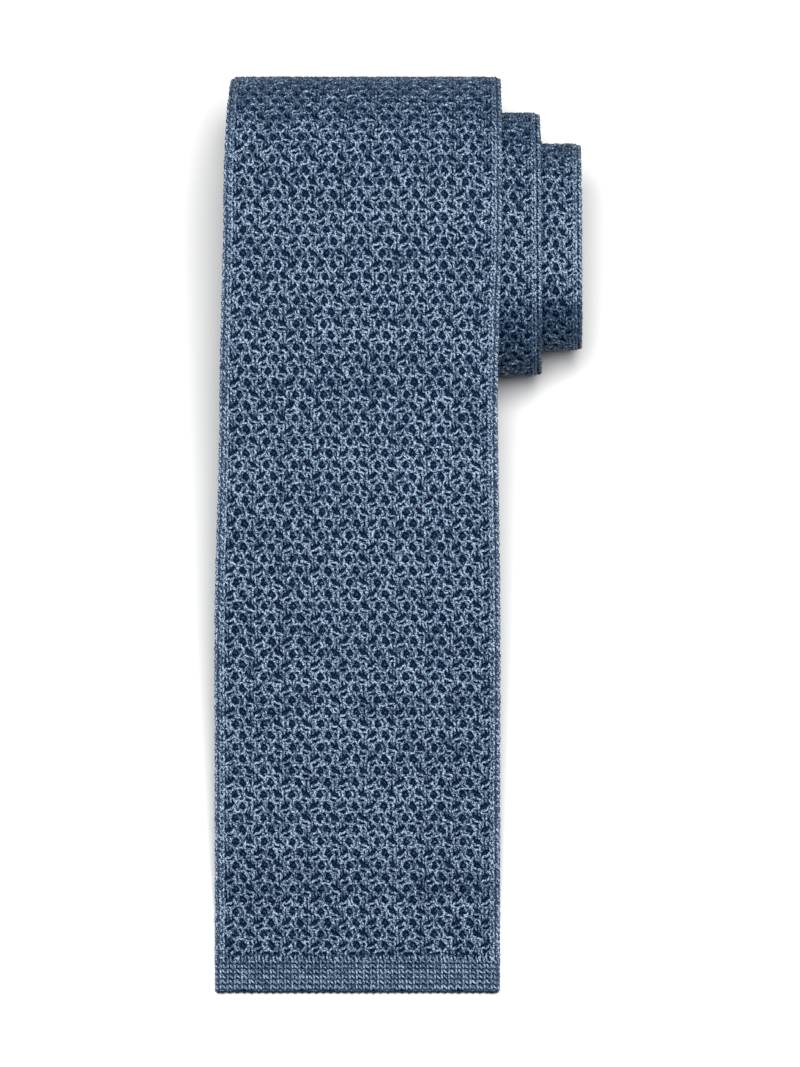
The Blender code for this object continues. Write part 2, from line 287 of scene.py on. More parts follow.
# The studio
KEY_PLACE, KEY_SIZE = (0.04, -0.12, 1.42), 0.6
FILL_PLACE, FILL_SIZE = (-0.9, -0.2, 1.2), 1.2
LIT_POINT = (0.0, 0.0, 0.03)        # point that both lights look at
FLOOR_REACH = 3.0
FLOOR_GLOSS = 0.8

# The photograph, in its own pixels
PHOTO_WIDTH, PHOTO_HEIGHT = 800, 1067
PIXEL = 0.0700 / 287                # the blade is 287 pixels wide
BLADE_MIDDLE_X = 357.5              # column of the blade's middle
CREST_TOP_Y = 74                    # row that the top of the smooth crest comes to

# The tie's path: at each run, the middle of the ply, the way that it looks, where it lies
# across the roll, how wide it is and half how thick
Path = namedtuple("Path", "run point out centre width half")


def facing(angle):
    """Unit vector in the YZ plane at an angle from +Y."""
    return np.array((math.cos(angle), math.sin(angle)))


def smooth(value):
    """Ease from 0 to 1."""
    value = np.clip(value, 0.0, 1.0)
    return value * value * (3.0 - 2.0 * value)


def lay_at(turn):
    """Centre, wide width and narrow width of the tie at a place in the roll."""
    for low, high in zip(LAYS, LAYS[1:]):
        if turn <= high.turn:
            ease = smooth((turn - low.turn) / (high.turn - low.turn))
            return Lay(turn, *(a + (b - a) * ease for a, b in zip(low[1:], high[1:])))
    return LAYS[-1]


class Trace:
    """The outer face of the tie in the YZ plane, gathered from straight runs and arcs."""

    def __init__(self):
        self.points = []
        self.outs = []
        self.turns = []

    def add(self, point, out, turn):
        """Add one point."""
        self.points.append(point)
        self.outs.append(out)
        self.turns.append(turn)

    def line(self, start, end, out, turn_start, turn_end):
        """Add a straight run, without its end."""
        steps = max(LEAST_STEPS, round(np.linalg.norm(end - start) / TRACE_STEP))
        for share in np.arange(steps) / steps:
            turn = turn_start + (turn_end - turn_start) * share
            self.add(start + (end - start) * share, out, turn)

    def arc(self, centre, radius, start, end, turn_start, turn_end):
        """Add an arc, without its end.  A radius below 0 faces the arc's centre."""
        steps = max(ARC_STEPS, round(abs(radius * (end - start)) / TRACE_STEP))
        for share in np.arange(steps) / steps:
            out = facing(start + (end - start) * share)
            turn = turn_start + (turn_end - turn_start) * share
            self.add(centre + radius * out, out, turn)


def trace_lead(trace):
    """Trace the front blade from its end on the surface up to the crest."""
    steep = SLOPE + STEEPENING
    crest_start = CREST_CENTRE + CREST_RADIUS * OUT
    bends_drop = STEEP_RADIUS * (math.cos(SLOPE) - math.cos(steep))
    bends_drop += LANDING_RADIUS * (1 - math.cos(steep))
    slope_run = (crest_start[1] - PLY - bends_drop) / math.sin(SLOPE)
    slope_end = crest_start - slope_run * UP_SLOPE
    up = math.pi / 2
    steep_centre = slope_end - STEEP_RADIUS * OUT
    steep_start = steep_centre + STEEP_RADIUS * facing(up + steep)
    landing_centre = steep_start + LANDING_RADIUS * facing(up + steep)
    landing = landing_centre - LANDING_RADIUS * facing(up)
    end = landing - np.array((FLAT_RUN, 0.0))
    total = np.linalg.norm(crest_start - end)

    def turn(point):
        return -np.linalg.norm(crest_start - point) / total

    trace.line(end, landing, facing(up), turn(end), turn(landing))
    trace.arc(landing_centre, -LANDING_RADIUS, up, up + steep, turn(landing), turn(steep_start))
    trace.arc(steep_centre, STEEP_RADIUS, up + steep, up + SLOPE, turn(steep_start), turn(slope_end))
    trace.line(slope_end, crest_start, OUT, turn(slope_end), 0.0)


def trace_roll(trace):
    """Trace the turns of the roll, from the crest to the last foot and on to the neck."""
    sine, cosine = math.sin(SLOPE), math.cos(SLOPE)
    arcs = []
    for index, turn in enumerate(TURNS):
        back_height = index * TURN_PITCH
        front = CREST_RADIUS - index * TURN_PITCH
        rise = front * cosine + turn.crest_reach * sine + CREST_RADIUS - back_height
        radius = rise / (1 + cosine + sine)
        centre = CREST_CENTRE + (turn.crest_reach - radius) * UP_SLOPE + (front - radius) * OUT
        arcs.append((centre, radius, SLOPE_FACING, FLOOR_FACING, index, index + CREST_END))
        front -= TURN_PITCH
        rise = front * cosine - turn.foot_reach * sine + CREST_RADIUS - back_height
        radius = rise / (1 + cosine - sine)
        centre = CREST_CENTRE + (radius - turn.foot_reach) * UP_SLOPE + (front - radius) * OUT
        arcs.append((centre, radius, FLOOR_FACING, SLOPE_FACING - 2 * math.pi,
                     index + BACK_END, index + FOOT_END))
    for index, arc in enumerate(arcs):
        trace.arc(*arc)
        leave = arc[0] + arc[1] * facing(arc[3])
        if index + 1 < len(arcs):
            after = arcs[index + 1]
            join = after[0] + after[1] * facing(after[2])
            trace.line(leave, join, facing(arc[3]), arc[5], after[4])
    neck = leave + NECK_RUN * UP_SLOPE
    trace.line(leave, neck, OUT, arcs[-1][5], len(TURNS))
    trace.add(neck, OUT, len(TURNS))
    return neck


def tie_path():
    """The middle of the tie's ply from the wide end, round the neck, to the narrow end.

    On the way back the tie lies inside its wide half and its outer face looks inwards.
    """
    trace = Trace()
    trace_lead(trace)
    neck = trace_roll(trace)
    points, outs, turns = (np.array(values) for values in (trace.points, trace.outs, trace.turns))
    lays = np.array([lay_at(turn) for turn in turns])
    start = CREST_CENTRE + CREST_RADIUS * OUT
    far = np.linalg.norm(points - start, axis=1)
    narrow = (turns > 0) | (far <= NARROW_LEAD)
    fold_radius = (PLY + PLY_GAP) / 2
    fold_centre = neck - (PLY + PLY_GAP / 2) * OUT
    angles = np.linspace(SLOPE_FACING, SLOPE_FACING - math.pi, FOLD_POINTS)[1:-1]
    fold_outs = np.array([facing(angle) for angle in angles])
    last = lays[-1]
    point = np.concatenate((points - outs * PLY / 2,
                            fold_centre + fold_radius * fold_outs,
                            (points - outs * (PLY * 1.5 + PLY_GAP))[narrow][::-1]))
    out = np.concatenate((outs, fold_outs, -outs[narrow][::-1]))
    centre = np.concatenate((lays[:, 1], np.full(len(angles), last[1]), lays[narrow, 1][::-1]))
    width = np.concatenate((lays[:, 2], np.full(len(angles), last[2]), lays[narrow, 3][::-1]))
    steps = np.linalg.norm(np.diff(point, axis=0), axis=1)
    run = np.concatenate(([0.0], np.cumsum(steps)))
    keep = np.concatenate(([True], steps > SAME_POINT))
    run, point, out, centre, width = (values[keep] for values in (run, point, out, centre, width))
    total = run[-1]
    from_end = np.minimum(run, total - run)
    thinner = (PLY - BAND_PLY) / 2 * (1 - smooth((from_end - BAND_LENGTH) / BAND_EASE + 0.5))
    half = PLY / 2 - thinner
    lowered = np.where(run < total / 2, thinner, 0.0)
    point = point - lowered[:, None] * out
    return Path(run, point, out, centre, width, half), turns, narrow


PATH, WIDE_TURNS, NARROW_SHARED = tie_path()
TOTAL_RUN = float(PATH.run[-1])

# Local X 0 is the middle of the wide end and local Y 0 the middle of the crest
END_BOX = np.array(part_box("wide_end_band"))
LOCAL_END = float(PATH.point[0][0]) + PIECE_GAP / 2
SHIFT = np.array(((END_BOX[0][0] + END_BOX[1][0]) / 2, END_BOX[0][1] - LOCAL_END, 0.0))


def run_at(turn, narrow=False):
    """Run along the tie at a place in the roll, on its wide or its narrow half."""
    if not narrow:
        return float(np.interp(turn, WIDE_TURNS, PATH.run[:len(WIDE_TURNS)]))
    turns = WIDE_TURNS[NARROW_SHARED]
    runs = PATH.run[-len(turns):][::-1]
    return float(np.interp(turn, turns, runs))


# Run at which the blade's yarn ends
YARN_END = run_at(YARN_END_TURN)


def pitch_at(run, wales=WALES):
    """Width of one wale at each run."""
    width = np.interp(run, PATH.run, PATH.width)
    half = np.interp(run, PATH.run, PATH.half)
    return (4 * (width / 2 - half) + 2 * math.pi * YARN_MIDDLE) / wales


def on_tube(run, wale, reach, wales=WALES):
    """Points on the knit tube, and which way its wall looks there."""
    width = np.interp(run, PATH.run, PATH.width)
    half = np.interp(run, PATH.run, PATH.half)
    centre = np.interp(run, PATH.run, PATH.centre)
    point_y, point_z = (np.interp(run, PATH.run, PATH.point[:, axis]) for axis in (0, 1))
    point_y = point_y + np.minimum(run, 0.0)
    out_y, out_z = (np.interp(run, PATH.run, PATH.out[:, axis]) for axis in (0, 1))
    flat = width / 2 - half
    edge = math.pi * YARN_MIDDLE
    around = wale * (4 * flat + 2 * edge) / wales
    side = np.sign(around)
    past = np.abs(around) - flat
    angle = np.clip(past / YARN_MIDDLE, 0.0, math.pi)
    back = np.clip(past - edge, 0.0, None)
    inside = np.minimum(np.abs(around), flat)
    across = side * (inside - back + reach * np.sin(angle))
    outward = reach * np.cos(angle)
    points = np.stack((centre + across, point_y + outward * out_y, point_z + outward * out_z), -1)
    looks = np.stack((side * np.sin(angle), np.cos(angle) * out_y, np.cos(angle) * out_z), -1)
    return points + SHIFT, looks


def within(away, bend):
    """0 before and after a bend and 1 inside it, for the degrees turned."""
    grown = smooth((away - bend.begins) / (bend.full - bend.begins))
    return grown * smooth((bend.ends - away) / (bend.ends - bend.leaves))


def crest_and_foot(run):
    """How far the crest of a turn bends the knit at each run and darkens it with painted shade, and
    how much painted shade darkens a foot.
    """
    out_y, out_z = (np.interp(run, PATH.run, PATH.out[:, axis]) for axis in (0, 1))
    away = np.degrees(SLOPE_FACING - np.arctan2(out_z, out_y)) % 360.0
    wide_half = run < TOTAL_RUN / 2
    return within(away, CREST_BEND) * wide_half, within(away, FOOT_BEND) * wide_half


def unit(vectors):
    """The same vectors, one long."""
    return vectors / np.maximum(np.linalg.norm(vectors, axis=-1, keepdims=True), NO_LENGTH)


def mesh_from_quads(name, points, quads, layers, values):
    """Make a smooth mesh object from arrays, with UV layers and point values."""
    mesh = bpy.data.meshes.new(name)
    mesh.vertices.add(len(points))
    mesh.vertices.foreach_set("co", points.astype(np.float32).ravel())
    mesh.loops.add(quads.size)
    mesh.loops.foreach_set("vertex_index", quads.astype(np.int32).ravel())
    mesh.polygons.add(len(quads))
    mesh.polygons.foreach_set("loop_start", np.arange(0, quads.size, 4, dtype=np.int32))
    mesh.update(calc_edges=True)
    mesh.shade_smooth()
    for layer, coordinates in layers.items():
        uvs = mesh.uv_layers.new(name=layer)
        uvs.data.foreach_set("uv", coordinates.astype(np.float32).ravel())
    for attribute, numbers in values.items():
        stored = mesh.attributes.new(attribute, "FLOAT", "POINT")
        stored.data.foreach_set("value", numbers.astype(np.float32).ravel())
    mesh.validate()
    piece = bpy.data.objects.new(name, mesh)
    bpy.context.collection.objects.link(piece)
    return piece


class Value:
    """A socket of a material's nodes, so that a sum on it adds its Math nodes."""

    def __init__(self, finish, socket):
        self.finish = finish
        self.socket = socket

    def math(self, operation, *values):
        """Add a Math node that works on this value and others."""
        sockets = dict(enumerate(values))
        return self.finish.node("ShaderNodeMath", {"operation": operation}, sockets)

    def __add__(self, other):
        return self.math("ADD", self, other)

    def __radd__(self, other):
        return self.math("ADD", other, self)

    def __sub__(self, other):
        return self.math("SUBTRACT", self, other)

    def __rsub__(self, other):
        return self.math("SUBTRACT", other, self)

    def __mul__(self, other):
        return self.math("MULTIPLY", self, other)

    def __rmul__(self, other):
        return self.math("MULTIPLY", other, self)

    def __truediv__(self, other):
        return self.math("DIVIDE", self, other)

    def __pow__(self, other):
        return self.math("POWER", self, other)

    def __abs__(self):
        return self.math("ABSOLUTE", self)

    def fraction(self):
        """What lies past the whole number."""
        return self.math("FRACT", self)

    def floor(self):
        """The whole number."""
        return self.math("FLOOR", self)

    def clamped(self):
        """The value, held between 0 and 1."""
        return self.finish.node("ShaderNodeClamp", {}, {"Value": self})

    def eased(self, low, high):
        """Ease from 0 to 1 between two values."""
        sockets = {"Value": self, "From Min": low, "From Max": high}
        return self.finish.node("ShaderNodeMapRange", {"interpolation_type": "SMOOTHSTEP"}, sockets)


class Finish:
    """A material and the nodes that colour it."""

    def __init__(self, name):
        self.material = bpy.data.materials.new(name)
        self.material.use_nodes = True
        self.tree = self.material.node_tree
        self.shader = self.tree.nodes["Principled BSDF"]

    def node(self, kind, settings, sockets, output=0):
        """Add a node with its settings and the values or links of its sockets."""
        node = self.tree.nodes.new(kind)
        for name, value in settings.items():
            if name == "stops":
                self.set_stops(node.color_ramp, value)
            else:
                setattr(node, name, value)
        for key, value in sockets.items():
            self.feed(node.inputs[key], value)
        return Value(self, node.outputs[output])

    def set_stops(self, ramp, stops):
        """Give a colour ramp its stops, as places and colours."""
        ramp.interpolation = "LINEAR"
        while len(ramp.elements) < len(stops):
            ramp.elements.new(1.0)
        for element, (position, colour) in zip(ramp.elements, stops):
            element.position = position
            element.color = tuple(colour)

    def feed(self, socket, value):
        """Link a value to a socket, or set it there."""
        if isinstance(value, Value):
            self.tree.links.new(value.socket, socket)
        else:
            socket.default_value = value

    def shades(self, light, colours):
        """The silk's colour with painted light and shade, from painted shade deep in the knit at 0 to
        a painted highlight on its brightest strands at 1.
        """
        stops = ((0.0, colours.hole), (0.5, colours.silk), (1.0, colours.lit))
        return self.node("ShaderNodeValToRGB", {"stops": stops}, {0: light.clamped()})

    def root(self, value):
        """Square root of a value."""
        return value.math("SQRT", value)

    def attribute(self, name):
        """A number kept at the mesh's points."""
        return self.node("ShaderNodeAttribute", {"attribute_name": name}, {}, output=2)

    def coordinates(self, layer):
        """Both numbers of a UV layer."""
        uv = self.node("ShaderNodeUVMap", {"uv_map": layer}, {})
        first = self.node("ShaderNodeSeparateXYZ", {}, {0: uv})
        return first, Value(self, first.socket.node.outputs[1])

    def noise(self, vector, scale):
        """Noise from 0 to 1."""
        sockets = {"Vector": vector, "Scale": scale, "Detail": 2.0}
        return self.node("ShaderNodeTexNoise", {}, sockets)

    def grain(self):
        """The silk's grain, from 0 in its darkest spots to 1 in its brightest."""
        return self.noise(self.place(), GRAIN).eased(*GRAIN_RANGE)

    def place(self):
        """The place on the object."""
        return self.node("ShaderNodeTexCoord", {}, {}, output=3)

    def raise_by(self, height, distance):
        """Bump the surface by a height."""
        sockets = {"Height": height, "Distance": distance, "Strength": 1.0}
        self.feed(self.shader.inputs["Normal"], self.node("ShaderNodeBump", {}, sockets))


class KnitSizes(bpy.types.PropertyGroup):
    """Sizes of the yarn and its stitches."""

    course: FloatProperty(name="Course", description="Height of one course of the mesh",
                          default=0.001435, min=0.0005, unit="LENGTH", precision=6)
    yarn: FloatProperty(name="Yarn radius", description="Radius of the silk yarn",
                        default=0.00035, min=0.0001, unit="LENGTH", precision=6)
    twist: FloatProperty(name="Twist", description="Length of one turn of the yarn's two strands",
                         default=0.0017, min=0.0005, unit="LENGTH", precision=6)
    across: FloatProperty(name="Unevenness across", description="How uneven stitches are, in wales",
                          default=0.045, min=0.0)
    up: FloatProperty(name="Unevenness along", description="How uneven stitches are, in courses",
                      default=0.055, min=0.0)
    out: FloatProperty(name="Unevenness out", description="How uneven stitches are, in yarn radii",
                       default=0.26, min=0.0)


class SilkColours(bpy.types.PropertyGroup):
    """Colours of the dyed silk, and of the painted highlight and painted shade on it."""

    # painted highlight on the brightest strands
    lit: FloatVectorProperty(name="Lit strands", description="Colour of the brightest strands",
                             subtype="COLOR", size=4, default=(0.320, 0.420, 0.540, 1.0))
    silk: FloatVectorProperty(name="Silk", description="Colour of the yarn",
                              subtype="COLOR", size=4, default=(0.036, 0.072, 0.128, 1.0))
    # painted shade deep in the knit
    hole: FloatVectorProperty(name="Hole", description="Colour deep in the knit",
                              subtype="COLOR", size=4, default=(0.0003, 0.0058, 0.0290, 1.0))
    gloss: FloatProperty(name="Roughness", description="Roughness of the silk",
                         default=0.42, min=0.0, max=1.0)
    sheen: FloatProperty(name="Specular level", description="Strength of the silk's reflections",
                         default=0.07, min=0.0, max=1.0)


class StudioSettings(bpy.types.PropertyGroup):
    """The floor, the lights and the camera."""

    floor: FloatVectorProperty(name="Floor", description="Colour of the floor",
                               subtype="COLOR", size=4, default=(0.72, 0.72, 0.72, 1.0))
    key: FloatProperty(name="Key light", description="Power of the large light above the roll",
                       default=34.8, min=0.0, unit="POWER")
    fill: FloatProperty(name="Fill light", description="Power of the soft light at the side",
                        default=2.0, min=0.0, unit="POWER")
    sky: FloatProperty(name="Surroundings", description="Brightness of the white surroundings",
                       default=0.08, min=0.0)
    distance: FloatProperty(name="Camera distance", description="From the camera to the blade",
                            default=6.0, min=0.3, unit="LENGTH")
    frame_height: FloatProperty(name="Frame height", description="Height that the picture takes in",
                                default=0.2602, min=0.05, unit="LENGTH")


def silk_yarn():
    """Twisted silk yarn, with painted shade in the grooves of its twist, deep in the knit, over the
    crest and at the feet of the turns.
    """
    found = bpy.data.materials.get("silk_yarn")
    if found:
        return found
    sizes, colours = bpy.context.scene.knit_sizes, bpy.context.scene.silk_colours
    finish = Finish("silk_yarn")
    length, around = finish.coordinates("yarn")
    strand = (around * 2.0 + length / sizes.twist).fraction()
    off = abs(strand - 0.5) * 2.0
    height = finish.root(1.0 - off * off)
    # painted shade in the grooves of the twist and deep in the knit
    groove = off ** 3.0
    deep = finish.attribute("depth").eased(*DEPTH_RANGE)
    tone = finish.attribute("tone") * TONE_SPREAD + 1.0
    lit = (deep * (1.0 - DEEP_PAINTED_SHADE) + DEEP_PAINTED_SHADE) * (1.0 - groove * GROOVE_PAINTED_SHADE) * tone
    even = finish.attribute("even")
    lit = lit * (finish.grain() * (1.0 - even * EVEN_GRAIN) + even * EVEN_LIGHT + GRAIN_LEAST)
    # painted shade over the crest and at the feet of the turns
    lit = lit * finish.attribute("shade")
    finish.feed(finish.shader.inputs["Base Color"], finish.shades(lit, colours))
    finish.raise_by(height, STRAND_HEIGHT)
    finish.shader.inputs["Roughness"].default_value = colours.gloss
    finish.shader.inputs["Specular IOR Level"].default_value = colours.sheen
    return finish.material


def stitch_legs(wale, course):
    """Both slanted legs of every stitch of plain knit at 1, and the gaps round them at 0."""
    across = abs(wale.fraction() - 0.5) * 2.0
    slant = (course - across * LEG_SLANT).fraction()
    ridge = 1.0 - abs(slant - 0.5) * 2.0
    column = 1.0 - abs(across - 0.5) * 2.0
    return (ridge * LEG_BREADTH).clamped() * column.eased(*LEG_RANGE)


def finish_cloth(finish, legs, solid):
    """Colour and raise the stitches of a cloth, with painted shade where it lies behind yarn."""
    colours = bpy.context.scene.silk_colours
    # painted light on the legs and painted shade in the gaps and holes
    lit = solid * (legs * LEG_LIGHT + GAP_LIGHT)
    lit = lit * (finish.grain() * CLOTH_GRAIN + CLOTH_GRAIN_LEAST)
    # painted shade on cloth that lies behind yarn
    shown = 1.0 - finish.attribute("backing") * BEHIND_YARN_PAINTED_SHADE
    finish.feed(finish.shader.inputs["Base Color"], finish.shades(lit * shown, colours))
    finish.raise_by(solid * ((1.0 - LEG_RELIEF) + legs * LEG_RELIEF), STITCH_HEIGHT)
    finish.shader.inputs["Roughness"].default_value = CLOTH_GLOSS
    finish.shader.inputs["Specular IOR Level"].default_value = colours.sheen
    return finish.material


def mesh_cloth():
    """Mesh-knit cloth where no yarn is laid over it, and the cloth behind the holes, darkened with
    painted shade.

    Its holes, drawn in painted shade, are two wales and two courses apart, and it is plain by the
    folds.
    """
    found = bpy.data.materials.get("mesh_cloth")
    if found:
        return found
    finish = Finish("mesh_cloth")
    wale, course = finish.coordinates("knit")
    stitch = finish.node("ShaderNodeUVMap", {"uv_map": "knit"}, {})
    sway = finish.noise(stitch, SWAY_FINENESS) - 0.5
    wale = wale + sway * SWAY_ACROSS
    course = course + sway * SWAY_ALONG
    odd = ((course / 2.0).floor() / 2.0).fraction() * 2.0
    across = ((wale + odd) / 2.0).fraction() * 2.0 - 1.0
    along = (course / 2.0).fraction() * 2.0 - 1.0
    far = finish.root(across * across * HOLE_ACROSS + along * along * HOLE_ALONG)
    open_knit = 1.0 - finish.attribute("fold")
    solid = 1.0 - (1.0 - far.eased(*HOLE_RANGE)) * open_knit
    return finish_cloth(finish, stitch_legs(wale, course), solid)


def plain_cloth():
    """Plain-knit cloth of the end bands, with a column of slanted legs in every wale."""
    found = bpy.data.materials.get("plain_cloth")
    if found:
        return found
    finish = Finish("plain_cloth")
    wale, course = finish.coordinates("knit")
    return finish_cloth(finish, stitch_legs(wale, course), 1.0)


def ring_wales(wales, pitch):
    """Wales at which the cloth's mesh has points, closer together round the folds."""
    fold = wales / 4
    bend = math.pi * YARN_MIDDLE / 2 / pitch
    near = FOLD_RINGS * bend
    faces = np.arange(-wales / 2, wales / 2, CLOTH_WALES)
    faces = faces[np.abs(np.abs(faces) - fold) > CLEAR_OF_FOLD * bend]
    return np.sort(np.concatenate((faces, fold + near, near - fold)))


def cloth_reach(run, backing):
    """How far the cloth reaches from the middle of its ply, as deep as its yarn asks for."""
    deep = BACKING_REACH + CREST_BACKING * crest_and_foot(run)[0]
    reach = CLOTH_REACH + (deep - CLOTH_REACH) * backing
    reach = np.minimum(reach, np.interp(run, PATH.run, PATH.half) - CLOTH_MARGIN)
    return np.minimum(reach, BOUND_REACH + np.minimum(run, TOTAL_RUN - run) * BOUND_TAPER)


def cloth_layers(runs, around, wales, course, caps):
    """UV layers of the cloth: the wales and courses of its knit, and its baked picture."""
    next_wale = np.append(around[1:], around[0] + wales)
    low = np.stack((around, next_wale, next_wale, around), -1)[None]
    rows = runs / course
    high = np.stack((rows[:-1], rows[:-1], rows[1:], rows[1:]), -1)[:, None]
    knit = np.stack(np.broadcast_arrays(low, high), -1).reshape(-1, 4, 2)
    spread = np.stack(np.broadcast_arrays((low + wales / 2) / wales,
                                          (high - rows[0]) / (rows[-1] - rows[0])), -1)
    bake = BAKE_START + BAKE_SHARE * spread.reshape(-1, 4, 2)
    flat = np.zeros((caps, 4, 2))
    return {"knit": np.concatenate((knit, flat + CAP_KNIT)),
            "OFBake": np.concatenate((bake, flat + CAP_BAKE))}


def cap_faces(steps, count):
    """Faces that close both ends of a tube of cloth."""
    opposite = (count - 1) - np.arange(count)
    caps = []
    for base, flip in ((0, False), (steps * count, True)):
        for first in range(count // 2 - 1):
            ring = (first, opposite[first], opposite[first + 1], first + 1)
            ring = ring[::-1] if flip else ring
            caps.append([base + corner for corner in ring])
    return np.array(caps)


def lay_cloth(name, node, start, end, wales, course, material, cover):
    """Lay one closed stretch of the flattened tube."""
    steps = max(LEAST_STEPS, round((end - start) / CLOTH_STEP))
    runs = np.linspace(start, end, steps + 1)
    around = ring_wales(wales, float(np.mean(pitch_at(runs, wales))))
    count = len(around)
    run, wale = np.meshgrid(runs, around, indexing="ij")
    backing = cover(run, wale)
    fold = 1 - smooth((np.abs(np.abs(wale) - wales / 4) - PLAIN_EDGE) / COVER_FADE)
    points = on_tube(run, wale, cloth_reach(run, backing), wales)[0].reshape(-1, 3)
    index = np.arange(steps)[:, None] * count
    corner = np.arange(count)[None]
    after = (corner + 1) % count
    sides = np.stack((index + corner, index + after,
                      index + count + after, index + count + corner), -1)
    caps = cap_faces(steps, count)
    layers = cloth_layers(runs, around, wales, course, len(caps))
    piece = mesh_from_quads(name, points, np.concatenate((sides.reshape(-1, 4), caps)), layers,
                            {"backing": backing.ravel(), "fold": fold.ravel()})
    piece.data.materials.append(material)
    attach(piece, "root")
    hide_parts(node)
    return piece


def course_places(row, low, high, gauge):
    """Places of one course's yarn, from its lowest wale to its highest.

    The first row of a mesh is plain, next to the band, and so are the wales by its folds,
    whose yarn stands out a little further.
    """
    places = []
    for wale in range(low, high + 1):
        from_fold = abs(abs(wale) - FOLD_WALE)
        kinds = gauge.chart[row % len(gauge.chart)]
        kind = "P" if row < 1 else kinds[wale % len(kinds)]
        if from_fold < gauge.edges:
            kind = "E"
        stitch = STITCHES[kind.upper()]
        if kind.islower():
            mirrored = (Place(-place.across, place.up, place.out) for place in stitch[:0:-1])
            stitch = (stitch[0], *mirrored)
        for place in stitch:
            lean = LEAN * gauge.heading * place.up
            places.append((wale + place.across - lean, place.up, place.out))
    return np.array(places)


def knit_course(places, row, start, course, gauge, rng):
    """Points of one course's yarn, the rings of its tube, how far out it is and the painted shade on
    it.
    """
    sizes = bpy.context.scene.knit_sizes
    thick = sizes.yarn * gauge.stout
    rough = rng.normal(0.0, 1.0, (len(places) + 2, 3))
    uneven = (rough[:-2] + 2.0 * rough[1:-1] + rough[2:]) / NEIGHBOURS_SPREAD
    places = places + uneven * gauge.uneven * (sizes.across, sizes.up, sizes.out)
    wale, up, out = places.T
    run = start + (row + gauge.heading * up) * course
    drift = sum(wave.size * np.sin(run * wave.pace + wave.start) for wave in DRIFTS)
    drift = drift * np.cos(wale / FOLD_WALE * math.pi / 2)
    crest, foot = crest_and_foot(run)
    middle = YARN_MIDDLE + out * sizes.yarn * (1 - CREST_FLATNESS * crest)
    radius = thick * (1.0 + PLUMPNESS * np.clip(out, *PLUMP_RANGE))
    most = np.interp(run, PATH.run, PATH.half) - radius
    points, looks = on_tube(run, wale + drift, np.clip(middle, LEAST_REACH, most))
    ahead = unit(np.gradient(points, axis=0))
    beside = unit(np.cross(ahead, looks))[:, None]
    above = np.cross(beside[:, 0], ahead)[:, None]
    angles = (np.arange(YARN_SIDES) / YARN_SIDES * 2 * math.pi)[None, :, None]
    around = np.cos(angles) * above + np.sin(angles) * beside
    rings = points[:, None] + radius[:, None, None] * around
    # the last value is painted shade: darker over the crest and at the foot of each turn
    return points, rings, out, 1 - CREST_PAINTED_SHADE * crest - FOOT_PAINTED_SHADE * foot


def tube_corners(here, there, lower, upper):
    """UV places of the faces along a tube, corner by corner."""
    return np.stack((here, lower, here, upper, there, upper, there, lower), -1).ravel()


def knit_patch(name, rows, low, high, start, course, gauge, rng):
    """Yarn of a patch of courses, all joined into one mesh."""
    points, quads, yarn, bake, depths, tones, shades = [], [], [], [], [], [], []
    side = np.arange(YARN_SIDES)[None]
    after = (side + 1) % YARN_SIDES
    base = 0
    for order, row in enumerate(rows):
        places = course_places(row, low, high, gauge)
        middle, rings, depth, shade = knit_course(places, row, start, course, gauge, rng)
        count = len(middle)
        index = np.arange(count - 1)[:, None] * YARN_SIDES
        ring = np.stack((index + side, index + after,
                         index + YARN_SIDES + after, index + YARN_SIDES + side), -1)
        points.append(rings.reshape(-1, 3))
        quads.append(ring.reshape(-1, 4) + base)
        steps = np.linalg.norm(np.diff(middle, axis=0), axis=1)
        gone = np.concatenate(([0.0], np.cumsum(steps))) + rng.uniform(0.0, TWIST_SHIFT)
        faces = (count - 1, YARN_SIDES)
        here = np.broadcast_to(gone[:-1, None], faces)
        there = np.broadcast_to(gone[1:, None], faces)
        left = np.broadcast_to(side / YARN_SIDES, faces)
        right = left + 1 / YARN_SIDES
        yarn.append(tube_corners(here, there, left, right))
        margin, share = STRIP_PLACE
        scale = (1.0 - 2 * STRIP_END) / (gone[-1] - gone[0])
        bake.append(tube_corners(STRIP_END + (here - gone[0]) * scale,
                                 STRIP_END + (there - gone[0]) * scale,
                                 (order + margin + left * share) / len(rows),
                                 (order + margin + right * share) / len(rows)))
        depths.append(np.repeat(depth, YARN_SIDES))
        # painted shade over the crest and at the feet of the turns
        shades.append(np.repeat(shade, YARN_SIDES))
        stitch = rng.normal(0.0, 1.0, high - low + 1)
        nearest = np.clip(np.round(places[:, 0]).astype(int) - low, 0, high - low)
        tones.append(np.repeat(stitch[nearest] + COURSE_TONE * rng.normal(), YARN_SIDES))
        base += count * YARN_SIDES
    piece = mesh_from_quads(name, np.concatenate(points), np.concatenate(quads),
                            {"yarn": np.concatenate(yarn), "OFBake": np.concatenate(bake)},
                            {"depth": np.concatenate(depths), "tone": np.concatenate(tones),
                             "shade": np.concatenate(shades),
                             "even": np.full(base, 1.0 - gauge.uneven)})
    piece.data.materials.append(silk_yarn())
    return piece


def finish_yarn(piece, nodes):
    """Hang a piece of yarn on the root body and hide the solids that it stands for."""
    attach(piece, "root")
    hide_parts(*nodes)


def faces_in(low, high, gauge):
    """Faces that an average course between two wales takes."""
    rows = range(1, len(gauge.chart) + 1)
    places = sum(len(course_places(row, low, high, gauge)) for row in rows)
    return places / len(rows) * YARN_SIDES


def from_wale(wale, start):
    """0 up to a wale and 1 soon after it."""
    return smooth((wale - start) / COVER_FADE)


